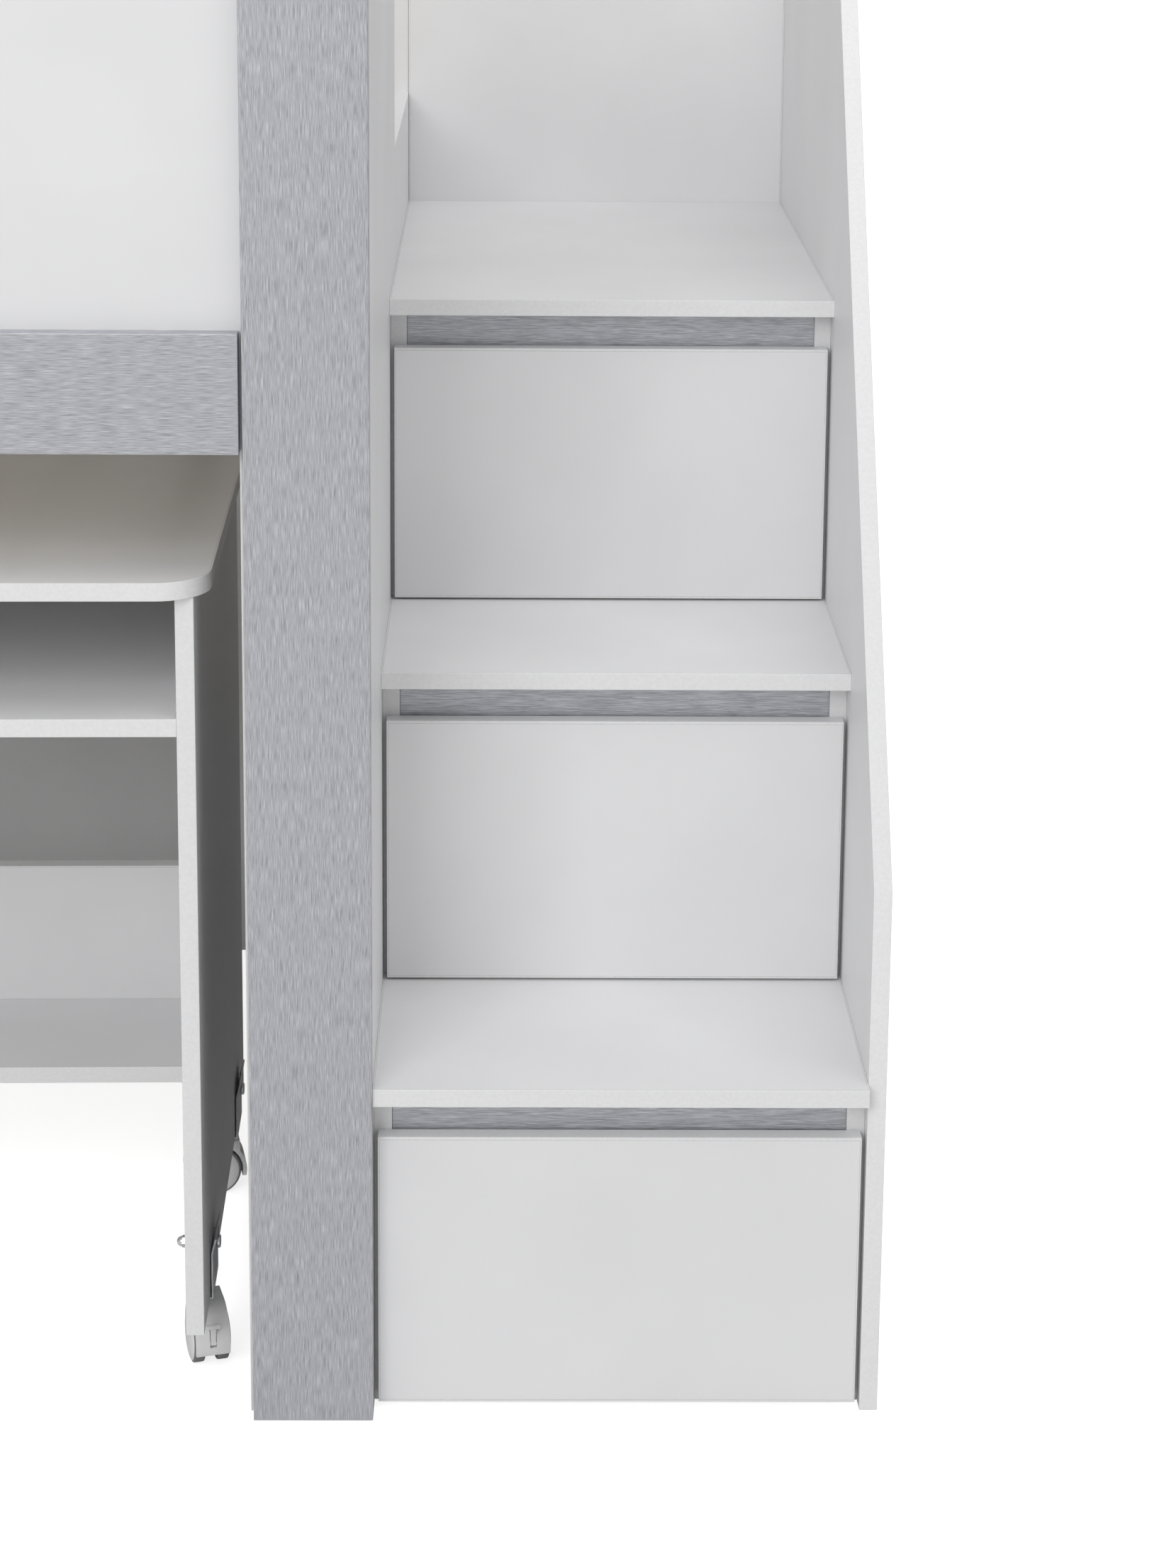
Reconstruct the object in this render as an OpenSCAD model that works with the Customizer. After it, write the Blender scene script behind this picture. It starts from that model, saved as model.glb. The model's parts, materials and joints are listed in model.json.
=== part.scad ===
// Mid-height loft bed with a drawer staircase on its right and a rolling desk underneath.
// Working frame: x = 0 at the stair side of the bed, y = 0 at the lowest tread's nose, z = 0 on the floor.
// Everything is then moved so that the origin is the bottom centre of the whole piece.

/* [Boards] */
// Thickness of every panel board
board = 16; // [15:1:19]
// Gap left where two boards meet without touching
board_gap = 0.5; // [0.2:0.1:1]

/* [Bed] */
// Length of the mattress well between the end boards
well_length = 2010; // [1840:10:2110]
// Width of the mattress well between the front guard and the back board
well_width = 1018; // [900:2:1120]
// Height of the posts, guards and back boards
bed_height = 1300; // [1240:5:1600]
// Height of the front rail's underside above the floor
rail_bottom = 873; // [850:1:900]
// Height of the front rail
rail_height = 102; // [80:1:120]
// Gap between the front rail and each post
rail_gap = 3; // [1:0.5:5]
// Width of each front post
post_width = 105; // [85:1:140]
// How far the stiffener behind a post shows past the post's edge
stiffener_reveal = 3.5; // [0:0.5:8]
// How far the posts stand in front of the lowest tread's nose
post_proud = 4; // [0:1:10]
// Height of the slats' upper face above the floor
slat_top = 918; // [905:1:940]
// Thickness of a slat
slat_thick = 18; // [15:1:22]
// Width of a slat
slat_width = 70; // [50:1:90]
// Number of slats
slat_count = 20; // [10:1:24]
// Width of the bearers that the slats lie on
bearer_width = 20; // [18:1:40]
// Height of the bearers that the slats lie on
bearer_height = 24; // [16:1:26]

/* [Staircase] */
// Clear width of the staircase between its side boards
stair_width = 430; // [360:2:520]
// Rise from one tread to the next
step_rise = 305; // [255:1:366]
// Going from one tread's nose to the next
step_going = 220; // [185:1:264]
// Height that the lowest tread has over a plain rise
first_step_extra = 5; // [0:1:15]
// How far the outer side board stands back from the lowest tread's nose
outer_side_back = 14; // [0:1:20]
// Height at which the outer side board starts to lean back
outer_side_kink = 485; // [400:5:560]
// Set-back of the outer side board at its top
outer_side_top_back = 515; // [400:5:600]
// Distance from the lowest tread's nose to the doorway onto the mattress
doorway_start = 598; // [500:2:700]
// Height of the doorway's sill
doorway_sill = 1045; // [1000:1:1100]

/* [Drawers] */
// Gap under a tread through which fingers reach the drawer front
finger_gap = 35; // [28:1:45]
// Clearance under a drawer front
drawer_bottom_gap = 2; // [1:0.5:5]
// Gap on each side of a drawer front
drawer_side_gap = 4; // [2:0.5:8]
// How far a drawer front stands back from its tread's nose
drawer_front_back = 15; // [8:1:25]
// Length of a drawer box behind its front
drawer_length = 450; // [350:5:500]
// Thickness of a drawer box's walls
drawer_wall = 12; // [10:1:16]
// Thickness of a drawer's bottom
drawer_floor = 5; // [3:0.5:8]
// Depth of the groove that holds the drawer's bottom
groove_depth = 6; // [3:0.5:8]
// Clearance of the drawer's bottom in its groove
groove_play = 0.2; // [0.1:0.05:0.4]
// Space for a runner beside a drawer box
runner_space = 13; // [12.5:0.1:15]
// Height of a runner's fixed channel
runner_height = 42; // [35:1:46]
// Sheet thickness of a runner
runner_sheet = 1.4; // [1:0.1:2]
// Free space between a runner's two channels
runner_play = 1; // [0.5:0.1:2]
// Height of the band board above each drawer front
band_height = 60; // [45:1:80]
// Radius on a drawer front's long edges
front_round = 1.5; // [0.5:0.1:3]

/* [Desk] */
// Length of the desk over its side boards
desk_length = 1200; // [900:10:1500]
// Depth of the desk's side boards
desk_depth = 515; // [440:5:600]
// Height of the desk top above the floor
desk_height = 760.5; // [720:0.5:780]
// Distance from the stair side of the bed to the desk
desk_clear = 149.6; // [130:0.2:200]
// Distance from the lowest tread's nose to the desk's side boards
desk_back = 20; // [0:1:60]
// Angle at which the rolling desk stands to the bed
desk_turn = 0.9; // [0:0.1:2]
// Overhang of the desk top at its ends
top_end_overhang = 13.6; // [5:0.2:30]
// Overhang of the desk top at its front
top_front_overhang = 14; // [5:1:30]
// Radius of the desk top's front corners
top_corner = 45; // [20:1:60]
// Clear height between the desk top and the shelf under it
shelf_space = 107.5; // [80:0.5:150]
// Height of the low shelf's upper face
low_shelf_height = 209; // [180:1:300]
// Depth of the low shelf
low_shelf_depth = 160; // [100:1:200]
// Distance from the desk's front to the low shelf
low_shelf_back = 245; // [150:1:300]
// Height of the low back board
low_back_height = 156; // [100:1:200]

/* [Castors] */
// Diameter of a castor wheel
wheel_d = 50; // [40:1:50]
// Width of one wheel of a castor
wheel_width = 11.5; // [9.5:0.5:18]
// Width of a castor's hood
hood_width = 31; // [25:0.5:37]
// Space between the desk's side boards and the floor
desk_lift = 68; // [68:1:90]
// Distance from a desk side's edge to its castor
castor_inset = 98; // [70:1:140]
// Horizontal distance from a castor's pin to its wheels
castor_trail = 15; // [10:0.5:20]
// Angle to which the front castors are turned
castor_turn = 14.6; // [0:0.2:30]
// Angle to which the rear castors are turned
rear_castor_turn = -80; // [-100:1:0]
// Diameter of a castor's pin
pin_d = 8; // [6:0.5:10]
// Radial running clearance of a pin or axle in its bore
running_play = 0.05; // [0.02:0.01:0.1]
// Diameter of a wheel axle
axle_d = 5; // [4:0.5:8]
// Length of a castor bracket along the desk's side
bracket_length = 60; // [40:1:80]
// Sheet thickness of a castor bracket
bracket_sheet = 1.5; // [1:0.1:3]
// Gap between a castor bracket's plates and the board
bracket_play = 1.2; // [0.5:0.1:3]
// Height of a bracket's upright plates
bracket_height = 42; // [35:1:60]
// Length of a bracket's flared lip
lip_length = 15; // [8:1:25]
// Angle of a bracket's flared lip
lip_angle = 14; // [5:1:25]
// Diameter of the bolt through a bracket
bolt_d = 6; // [5:0.5:8]

/* [Hidden] */

$fn = 48;
eps = 0.01;

white = "#f3f3f4";
metal_foil = "#b5b6ba";
steel = "#c9cacc";
wood = "#d8bd92";

// Places along y, from the front
front_y = -post_proud;
post_back_y = front_y + board;
well_front_y = post_back_y + board;
well_back_y = well_front_y + well_width;
back_y = well_back_y + board;

// Places along x
inner_side_x = -board;
well_left_x = inner_side_x - well_length;
bed_left_x = well_left_x - board;
outer_side_x = stair_width;
right_x = stair_width + board;
post_left_x = bed_left_x + post_width;
stiffener_width = post_width + stiffener_reveal - board;

// Steps
first_tread = step_rise + first_step_extra;
function tread_z(n) = first_tread + (n - 1) * step_rise;
function tread_y(n) = (n - 1) * step_going;
function front_top(n) = tread_z(n) - board - finger_gap;
function front_y_of(n) = tread_y(n) + drawer_front_back;
drawer_front_height = step_rise - board - finger_gap - drawer_bottom_gap;
function front_z(n) = front_top(n) - drawer_front_height;
function cheek_y(n) = front_y_of(n) + board + board_gap;
function cheek_z(n) = n == 1 ? 0 : tread_z(n - 1);
cheek_overrun = 30;
cheek_length = drawer_length + cheek_overrun;
band_back = 1.5;
runner_back = 2;
runner_length = drawer_length - 10;

// Slats
slat_margin = 20;
slat_end_gap = 2;
bearer_top = slat_top - slat_thick;

// Drawer boxes
box_x0 = board + runner_space;
box_x1 = stair_width - board - runner_space;
box_lift = 30;
box_drop = 42;
box_height = drawer_front_height - box_lift - box_drop;
floor_lift = 10;
runner_lift = 60;
slide_height = runner_height - 2 * (runner_sheet + runner_play);
channel_depth = runner_space - 2 * runner_play - runner_sheet;

bolt_play = 0.3;

// Bolts through the end board
end_bolt_head_d = 14;
end_bolt_head = 3;
end_bolt_length = 45;
end_bolt_inset = 60;
guard_bolt_y = post_back_y + board / 2;
guard_bolt_z = [rail_bottom + end_bolt_inset, bed_height - end_bolt_inset];
back_bolt_y = well_back_y + board / 2;
back_bolt_z = [2 * end_bolt_inset, rail_bottom - 2 * end_bolt_inset,
               rail_bottom + end_bolt_inset, bed_height - end_bolt_inset];

// Desk
desk_x1 = -desk_clear;
top_under = desk_height - board;
shelf_top = top_under - shelf_space;

// Castors
wheel_r = wheel_d / 2;
fender_play = 2;
fender_wall = 4;
fender_inner_r = wheel_r + fender_play;
fender_r = fender_inner_r + fender_wall;
web = 11;
wheel_gap = 0.4;
wheel_inner = web / 2 + wheel_gap;
wheel_cap = 1.8;
wheel_edge = 1;
wheel_shoulder = 2;
cap_wall = 0.5;
axle_half = wheel_inner + wheel_width - wheel_edge;
hood_clear = 18;
boss_d = 18;
bracket_web_top = desk_lift - board_gap;
bracket_web_under = bracket_web_top - bracket_sheet;
collar = 1;
collar_gap = 0.3;
boss_base = wheel_r + fender_inner_r;
boss_top = bracket_web_under - collar - collar_gap;
boss_floor = boss_base + 1.5;
pin_bottom = boss_floor + 1;
pin_in_board = 28;
pin_top = desk_lift + pin_in_board;
pin_to_bolt = 6;
bolt_lift = 32;
bolt_head_d = 12;
bolt_head = 4;
nut_d = 11.5;
nut_length = 15;
nut_hold = 10;
nut_dome = 4.6;
nut_end_gap = 0.5;
slot_width = 6;
slot_z0 = 25.5;
slot_z1 = 43;
slot_depth = wheel_r - fender_wall;
lever_pivot_z = 29;
lever_pivot_r = 1;
lever_pivot_length = slot_width + 4;
lever_play = 0.6;
lever_arm = 3;
lever_arm_height = 16.5;
lever_bar_d = 4.6;
lever_bar_length = 12;
lever_bar_reach = 1;
castor_places = [[desk_length - board / 2, castor_inset], [board / 2, castor_inset],
                 [desk_length - board / 2, desk_depth - castor_inset],
                 [board / 2, desk_depth - castor_inset]];

// Bottom centre of the whole piece
corner_y = desk_back + (top_corner - top_front_overhang) * cos(desk_turn)
    - (desk_length + top_end_overhang - top_corner) * sin(desk_turn) - top_corner;
lowest_y = min(front_y, corner_y);
centre_x = (bed_left_x - end_bolt_head + right_x) / 2;
centre_y = (lowest_y + back_y) / 2;

module centred() translate([-centre_x, -centre_y, 0]) children();

// A board between two corners
module slab(low, high) translate(low) cube(high - low);

// ---------------------------------------------------------------- bed

module post(x) {
    color(metal_foil) centred()
        slab([x, front_y, 0], [x + post_width, post_back_y, bed_height]);
}

module post_right() post(-post_width);
module post_left() post(bed_left_x);

module bed_rail() {
    color(metal_foil) centred()
        slab([post_left_x + rail_gap, front_y, rail_bottom],
             [-post_width - rail_gap, post_back_y, rail_bottom + rail_height]);
}

// Places along a board's end where it is bolted to the end board
module at_bolts(y, heights) {
    for (z = heights)
        translate([bed_left_x, y, z]) rotate([0, 90, 0]) children();
}

module end_bolt_holes() {
    at_bolts(guard_bolt_y, guard_bolt_z)
        translate([0, 0, -1]) cylinder(d = bolt_d + 2 * bolt_play, h = end_bolt_length + 2);
    at_bolts(back_bolt_y, back_bolt_z)
        translate([0, 0, -1]) cylinder(d = bolt_d + 2 * bolt_play, h = end_bolt_length + 2);
}

module end_bolt() {
    translate([0, 0, -end_bolt_head]) cylinder(d = end_bolt_head_d, h = end_bolt_head);
    translate([0, 0, -eps]) cylinder(d = bolt_d, h = end_bolt_length);
}

module end_bolts() {
    color(steel) centred() {
        at_bolts(guard_bolt_y, guard_bolt_z) end_bolt();
        at_bolts(back_bolt_y, back_bolt_z) end_bolt();
    }
}

module guard_board() {
    color(white) centred() difference() {
        slab([well_left_x, post_back_y, rail_bottom], [inner_side_x, well_front_y, bed_height]);
        end_bolt_holes();
    }
}

module post_stiffeners() {
    color(white) centred() {
        slab([inner_side_x - stiffener_width, post_back_y, 0], [inner_side_x, well_front_y, rail_bottom]);
        slab([well_left_x, post_back_y, 0], [well_left_x + stiffener_width, well_front_y, rail_bottom]);
    }
}

module end_board() {
    color(white) centred() difference() {
        slab([bed_left_x, post_back_y, 0], [well_left_x, back_y, bed_height]);
        end_bolt_holes();
    }
}

module back_board(z0, z1) {
    color(white) centred() difference() {
        slab([well_left_x, well_back_y, z0], [0, back_y, z1]);
        end_bolt_holes();
    }
}

module back_board_lower() back_board(0, rail_bottom);
module back_board_upper() back_board(rail_bottom, bed_height);

module slat_bearers() {
    color(white) centred() {
        slab([well_left_x + board_gap, well_front_y, bearer_top - bearer_height],
             [inner_side_x - board_gap, well_front_y + bearer_width, bearer_top]);
        slab([well_left_x + board_gap, well_back_y - bearer_width, bearer_top - bearer_height],
             [inner_side_x - board_gap, well_back_y, bearer_top]);
    }
}

module slats() {
    pitch = (well_length - slat_width - 2 * slat_margin) / (slat_count - 1);
    color(wood) centred()
        for (i = [0:slat_count - 1])
            translate([well_left_x + slat_margin + i * pitch, well_front_y + slat_end_gap, bearer_top])
                cube([slat_width, well_width - 2 * slat_end_gap, slat_thick]);
}

// ---------------------------------------------------------------- staircase

module side_profile(points, x) {
    translate([x, 0, 0]) rotate([90, 0, 90]) linear_extrude(board) polygon(points);
}

module stair_inner_side() {
    color(white) centred() side_profile([
        [post_back_y, 0], [well_back_y, 0], [well_back_y, doorway_sill],
        [doorway_start, doorway_sill], [doorway_start, bed_height], [post_back_y, bed_height]],
        inner_side_x);
}

module stair_outer_side() {
    color(white) centred() side_profile([
        [outer_side_back, 0], [back_y, 0], [back_y, bed_height],
        [outer_side_top_back, bed_height], [outer_side_back, outer_side_kink]],
        outer_side_x);
}

module stair_back() {
    color(white) centred()
        slab([board_gap / 2, well_back_y, 0], [stair_width, back_y, bed_height]);
}

module tread(n) {
    color(white) centred()
        slab([0, tread_y(n), tread_z(n) - board], [stair_width, well_back_y, tread_z(n)]);
}

module tread_1() tread(1);
module tread_2() tread(2);
module tread_3() tread(3);

// Band board between the cheeks, above the drawer front
module band(n) {
    color(metal_foil) centred()
        slab([board, cheek_y(n) + band_back, tread_z(n) - board - band_height],
             [stair_width - board, cheek_y(n) + band_back + board, tread_z(n) - board]);
}

module band_1() band(1);
module band_2() band(2);
module band_3() band(3);

module drawer_cheeks() {
    color(white) centred()
        for (n = [1:3], x = [0, stair_width - board])
            slab([x, cheek_y(n), cheek_z(n)], [x + board, cheek_y(n) + cheek_length, tread_z(n) - board]);
}

// Open channel along y, with its back against x = 0
module channel(length, height, depth) {
    difference() {
        cube([depth, length, height]);
        translate([runner_sheet, -1, runner_sheet])
            cube([depth, length + 2, height - 2 * runner_sheet]);
    }
}

module runner_channels() {
    color(steel) centred()
        for (n = [1:3]) {
            z = front_z(n) + runner_lift;
            y = cheek_y(n) + runner_back;
            translate([board, y, z]) channel(runner_length, runner_height, channel_depth);
            translate([stair_width - board, y, z]) mirror([1, 0, 0])
                channel(runner_length, runner_height, channel_depth);
        }
}

module drawer_front(n) {
    z0 = front_z(n);
    color(white) centred()
        translate([drawer_side_gap, front_y_of(n), z0]) rotate([90, 0, 90])
            linear_extrude(stair_width - 2 * drawer_side_gap)
                polygon(concat(
                    [for (a = [180:15:270]) [front_round + front_round * cos(a),
                                             front_round + front_round * sin(a)]],
                    [[board, 0], [board, drawer_front_height]],
                    [for (a = [90:15:180]) [front_round + front_round * cos(a),
                                            drawer_front_height - front_round + front_round * sin(a)]]));
}

// Two sides, an inner front and a back, grooved for the bottom
module drawer_box(n) {
    y0 = front_y_of(n) + board;
    y1 = y0 + drawer_length;
    z0 = front_z(n) + box_lift;
    z1 = z0 + box_height;
    color(white) centred() difference() {
        union() {
            slab([box_x0, y0, z0], [box_x0 + drawer_wall, y1, z1]);
            slab([box_x1 - drawer_wall, y0, z0], [box_x1, y1, z1]);
            slab([box_x0 + drawer_wall, y0, z0], [box_x1 - drawer_wall, y0 + drawer_wall, z1]);
            slab([box_x0 + drawer_wall, y1 - drawer_wall, z0], [box_x1 - drawer_wall, y1, z1]);
        }
        drawer_bottom_block(n, 0);
    }
}

module drawer_bottom_block(n, play) {
    y0 = front_y_of(n) + board;
    z0 = front_z(n) + box_lift + floor_lift;
    inset = drawer_wall - groove_depth + play;
    slab([box_x0 + inset, y0 + inset, z0 + play],
         [box_x1 - inset, y0 + drawer_length - inset, z0 + drawer_floor + 2 * groove_play - play]);
}

module drawer_bottom(n) {
    color(white) centred() drawer_bottom_block(n, groove_play);
}

// Inner channels of the runners, screwed to the drawer box
module drawer_runners(n) {
    z = front_z(n) + runner_lift + runner_sheet + runner_play;
    y = cheek_y(n) + runner_back;
    color(steel) centred() {
        translate([box_x0, y, z]) mirror([1, 0, 0])
            channel(runner_length, slide_height, channel_depth);
        translate([box_x1, y, z]) channel(runner_length, slide_height, channel_depth);
    }
}

module drawer_1_front() drawer_front(1);
module drawer_1_box() drawer_box(1);
module drawer_1_bottom() drawer_bottom(1);
module drawer_1_runners() drawer_runners(1);
module drawer_2_front() drawer_front(2);
module drawer_2_box() drawer_box(2);
module drawer_2_bottom() drawer_bottom(2);
module drawer_2_runners() drawer_runners(2);
module drawer_3_front() drawer_front(3);
module drawer_3_box() drawer_box(3);
module drawer_3_bottom() drawer_bottom(3);
module drawer_3_runners() drawer_runners(3);

// ---------------------------------------------------------------- desk

// The desk's own frame: x from its left side's outer face, y from its side boards' front edges
module at_desk() {
    centred() translate([desk_x1, desk_back, 0]) rotate([0, 0, desk_turn])
        translate([-desk_length, 0, 0]) children();
}

module desk_top() {
    x0 = -top_end_overhang;
    x1 = desk_length + top_end_overhang;
    y0 = -top_front_overhang;
    color(white) at_desk() translate([0, 0, top_under]) linear_extrude(board) union() {
        translate([x0, y0 + top_corner]) square([x1 - x0, desk_depth - y0 - top_corner]);
        translate([x0 + top_corner, y0]) square([x1 - x0 - 2 * top_corner, top_corner + 1]);
        translate([x0 + top_corner, y0 + top_corner]) circle(r = top_corner);
        translate([x1 - top_corner, y0 + top_corner]) circle(r = top_corner);
    }
}

module desk_side(x) {
    color(white) at_desk() difference() {
        slab([x, 0, desk_lift], [x + board, desk_depth, top_under]);
        for (p = castor_places) {
            translate([p[0], p[1], desk_lift - 1])
                cylinder(d = pin_d + 2 * bolt_play, h = pin_top - desk_lift + 2);
            translate([p[0] - board, p[1] + bolt_shift(), desk_lift + bolt_lift])
                rotate([0, 90, 0]) cylinder(d = bolt_d + 2 * bolt_play, h = 2 * board);
        }
    }
}

// The bracket's bolt passes behind the castor's pin
function bolt_shift() = pin_d / 2 + bolt_d / 2 + pin_to_bolt;

module desk_side_right() desk_side(desk_length - board);
module desk_side_left() desk_side(0);

module desk_shelf() {
    color(white) at_desk()
        slab([board, 0, shelf_top - board], [desk_length - board, desk_depth, shelf_top]);
}

module desk_low_shelf() {
    color(white) at_desk()
        slab([board, low_shelf_back, low_shelf_height - board],
             [desk_length - board, low_shelf_back + low_shelf_depth, low_shelf_height]);
}

module desk_low_back() {
    y = low_shelf_back + low_shelf_depth;
    z = low_shelf_height - board;
    color(white) at_desk()
        slab([board, y, z], [desk_length - board, y + board, z + low_back_height]);
}

// ---------------------------------------------------------------- castors

// U-shaped sheet bracket that straddles the side board, with flared lips
module bracket() {
    half = board / 2 + bracket_play;
    plate_top = bracket_web_top + bracket_height;
    difference() {
        union() {
            slab([-half - bracket_sheet, -bracket_length / 2, bracket_web_under],
                 [half + bracket_sheet, bracket_length / 2, bracket_web_top]);
            for (s = [0, 1]) mirror([s, 0, 0]) {
                slab([half, -bracket_length / 2, bracket_web_under],
                     [half + bracket_sheet, bracket_length / 2, plate_top]);
                translate([half, 0, plate_top - bracket_sheet * sin(lip_angle)]) rotate([0, lip_angle, 0])
                    slab([0, -bracket_length / 2, 0], [bracket_sheet, bracket_length / 2, lip_length]);
            }
        }
        translate([0, 0, bracket_web_under - 1]) cylinder(d = pin_d + 2 * bolt_play, h = bracket_sheet + 2);
        translate([-2 * board, bolt_shift(), desk_lift + bolt_lift])
            rotate([0, 90, 0]) cylinder(d = bolt_d + 2 * bolt_play, h = 4 * board);
    }
}

module castor_brackets() {
    color(steel) at_desk()
        for (p = castor_places) translate([p[0], p[1], 0]) bracket();
}

// Bolts have their heads on the outside of the desk and their domed nuts on the inside
module bolt_frames() {
    for (p = castor_places)
        translate([p[0], p[1] + bolt_shift(), desk_lift + bolt_lift])
            mirror([p[0] > desk_length / 2 ? 0 : 1, 0, 0]) rotate([0, 90, 0]) children();
}

plate_out = board / 2 + bracket_play + bracket_sheet;

module bracket_bolts() {
    color(steel) at_desk() bolt_frames() union() {
        translate([0, 0, plate_out]) cylinder(d = bolt_head_d, h = bolt_head);
        translate([0, 0, -plate_out - nut_hold]) cylinder(d = bolt_d, h = 2 * plate_out + nut_hold + eps);
    }
}

module bracket_nuts() {
    bore_r = bolt_d / 2 + running_play;
    flank = [[bore_r, 0], [nut_d / 2, 0]];
    dome = [for (a = [0:15:90]) [nut_d / 2 * cos(a), nut_length - nut_dome + nut_dome * sin(a)]];
    bore = [[0, nut_hold + nut_end_gap], [bore_r, nut_hold + nut_end_gap]];
    color(steel) at_desk() bolt_frames()
        translate([0, 0, -plate_out]) mirror([0, 0, 1])
            rotate_extrude() polygon(concat(flank, dome, bore));
}

// Swivel pin, with a collar under the bracket
module castor_pins() {
    color(steel) at_desk()
        for (p = castor_places) translate([p[0], p[1], 0]) union() {
            translate([0, 0, pin_bottom]) cylinder(d = pin_d, h = pin_top - pin_bottom);
            translate([0, 0, bracket_web_under - collar]) cylinder(d = 2 * pin_d, h = collar);
        }
}

// A castor's own frame: z up its pin, x from the pin towards the wheels, y along the axle
module at_castor(i) {
    p = castor_places[i];
    turn = p[1] < desk_depth / 2 ? castor_turn : rear_castor_turn;
    at_desk() translate([p[0], p[1], 0]) rotate([0, 0, turn - 90]) children();
}

module across(width) rotate([90, 0, 0]) translate([0, 0, -width / 2]) linear_extrude(width) children();

// The hood seen from its side
module fender_outline() {
    intersection() {
        union() {
            translate([castor_trail, wheel_r]) circle(r = fender_r);
            translate([-boss_d / 2, wheel_r]) square([boss_d / 2 + castor_trail, fender_r]);
        }
        translate([-fender_r, hood_clear]) square([3 * fender_r, 3 * fender_r]);
    }
}

// Two fenders over the wheels, with the web between them and the boss for the pin
module hood_shell() {
    across(hood_width) difference() {
        fender_outline();
        translate([castor_trail, wheel_r]) circle(r = fender_inner_r);
    }
    across(web) fender_outline();
    translate([0, 0, boss_base]) cylinder(d = boss_d, h = boss_top - boss_base);
}

module hood(i, braked) {
    color(white) at_castor(i) difference() {
        hood_shell();
        translate([0, 0, boss_floor]) cylinder(d = pin_d + 2 * running_play, h = boss_top);
        translate([castor_trail, 0, wheel_r]) rotate([90, 0, 0])
            cylinder(d = axle_d + 2 * running_play, h = 2 * web, center = true);
        if (braked) {
            slab([castor_trail + slot_depth, -slot_width / 2, slot_z0],
                 [castor_trail + fender_r + 1, slot_width / 2, slot_z1]);
            translate([castor_trail + lever_pivot_x(), 0, lever_pivot_z]) rotate([90, 0, 0])
                cylinder(r = lever_pivot_r + running_play, h = lever_pivot_length + 1, center = true);
        }
    }
}

// The lever's trunnions sit halfway through the hood's wall
function lever_pivot_x() = sqrt(pow(fender_r - fender_wall / 2, 2) - pow(wheel_r - lever_pivot_z, 2));

// Arm with its trunnions at the foot and a crossbar at the head
module brake(i) {
    half = slot_width / 2 - lever_play;
    foot = lever_arm / 2;
    color(white) at_castor(i) translate([castor_trail + lever_pivot_x(), 0, lever_pivot_z]) union() {
        rotate([90, 0, 0]) cylinder(r = lever_pivot_r, h = lever_pivot_length, center = true);
        slab([-foot, -half, -foot], [foot, half, lever_arm_height]);
        translate([lever_bar_reach, 0, lever_arm_height]) rotate([90, 0, 0])
            cylinder(d = lever_bar_d, h = lever_bar_length, center = true);
    }
}

module brake_front_right() brake(0);
module brake_front_left() brake(1);

module hood_front_right() hood(0, true);
module hood_front_left() hood(1, true);
module hood_rear_right() hood(2, false);
module hood_rear_left() hood(3, false);

// Two wheels on one axle, each with a domed cap over a blind bore
module wheels(i) {
    w = wheel_width;
    bore_r = axle_d / 2 + running_play;
    dome = [for (a = [0:15:90]) [(wheel_r - wheel_shoulder) * cos(a), w + wheel_cap * sin(a)]];
    flank = [[bore_r, 0], [wheel_r - wheel_edge, 0], [wheel_r, wheel_edge],
             [wheel_r, w - wheel_shoulder]];
    section = concat(flank, dome, [[0, w - cap_wall], [bore_r, w - cap_wall]]);
    color("#e6e6e6") at_castor(i) translate([castor_trail, 0, wheel_r])
        for (s = [0, 1]) mirror([0, s, 0])
            translate([0, wheel_inner, 0]) rotate([-90, 0, 0]) rotate_extrude() polygon(section);
}

module wheels_front_right() wheels(0);
module wheels_front_left() wheels(1);
module wheels_rear_right() wheels(2);
module wheels_rear_left() wheels(3);

module axle(i) {
    color(steel) at_castor(i) translate([castor_trail, 0, wheel_r]) rotate([90, 0, 0])
        cylinder(d = axle_d, h = 2 * axle_half, center = true);
}

module axle_front_right() axle(0);
module axle_front_left() axle(1);
module axle_rear_right() axle(2);
module axle_rear_left() axle(3);

post_right();
post_left();
bed_rail();
guard_board();
post_stiffeners();
end_board();
back_board_lower();
back_board_upper();
slat_bearers();
slats();
end_bolts();
stair_inner_side();
stair_outer_side();
stair_back();
tread_1();
tread_2();
tread_3();
band_1();
band_2();
band_3();
drawer_cheeks();
runner_channels();
drawer_1_front();
drawer_1_box();
drawer_1_bottom();
drawer_1_runners();
drawer_2_front();
drawer_2_box();
drawer_2_bottom();
drawer_2_runners();
drawer_3_front();
drawer_3_box();
drawer_3_bottom();
drawer_3_runners();
desk_top();
desk_side_right();
desk_side_left();
desk_shelf();
desk_low_shelf();
desk_low_back();
castor_brackets();
bracket_bolts();
bracket_nuts();
castor_pins();
hood_front_right();
hood_front_left();
hood_rear_right();
hood_rear_left();
wheels_front_right();
wheels_front_left();
wheels_rear_right();
wheels_rear_left();
axle_front_right();
axle_front_left();
axle_rear_right();
axle_rear_left();
brake_front_right();
brake_front_left();
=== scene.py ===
"""Looks of a mid-height loft bed with a drawer staircase and a rolling desk."""

import json
import logging
import math
from dataclasses import dataclass, field
from enum import Enum
from typing import Any, Sequence

import bmesh
import bpy
from mathutils import Matrix, Vector


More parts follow.
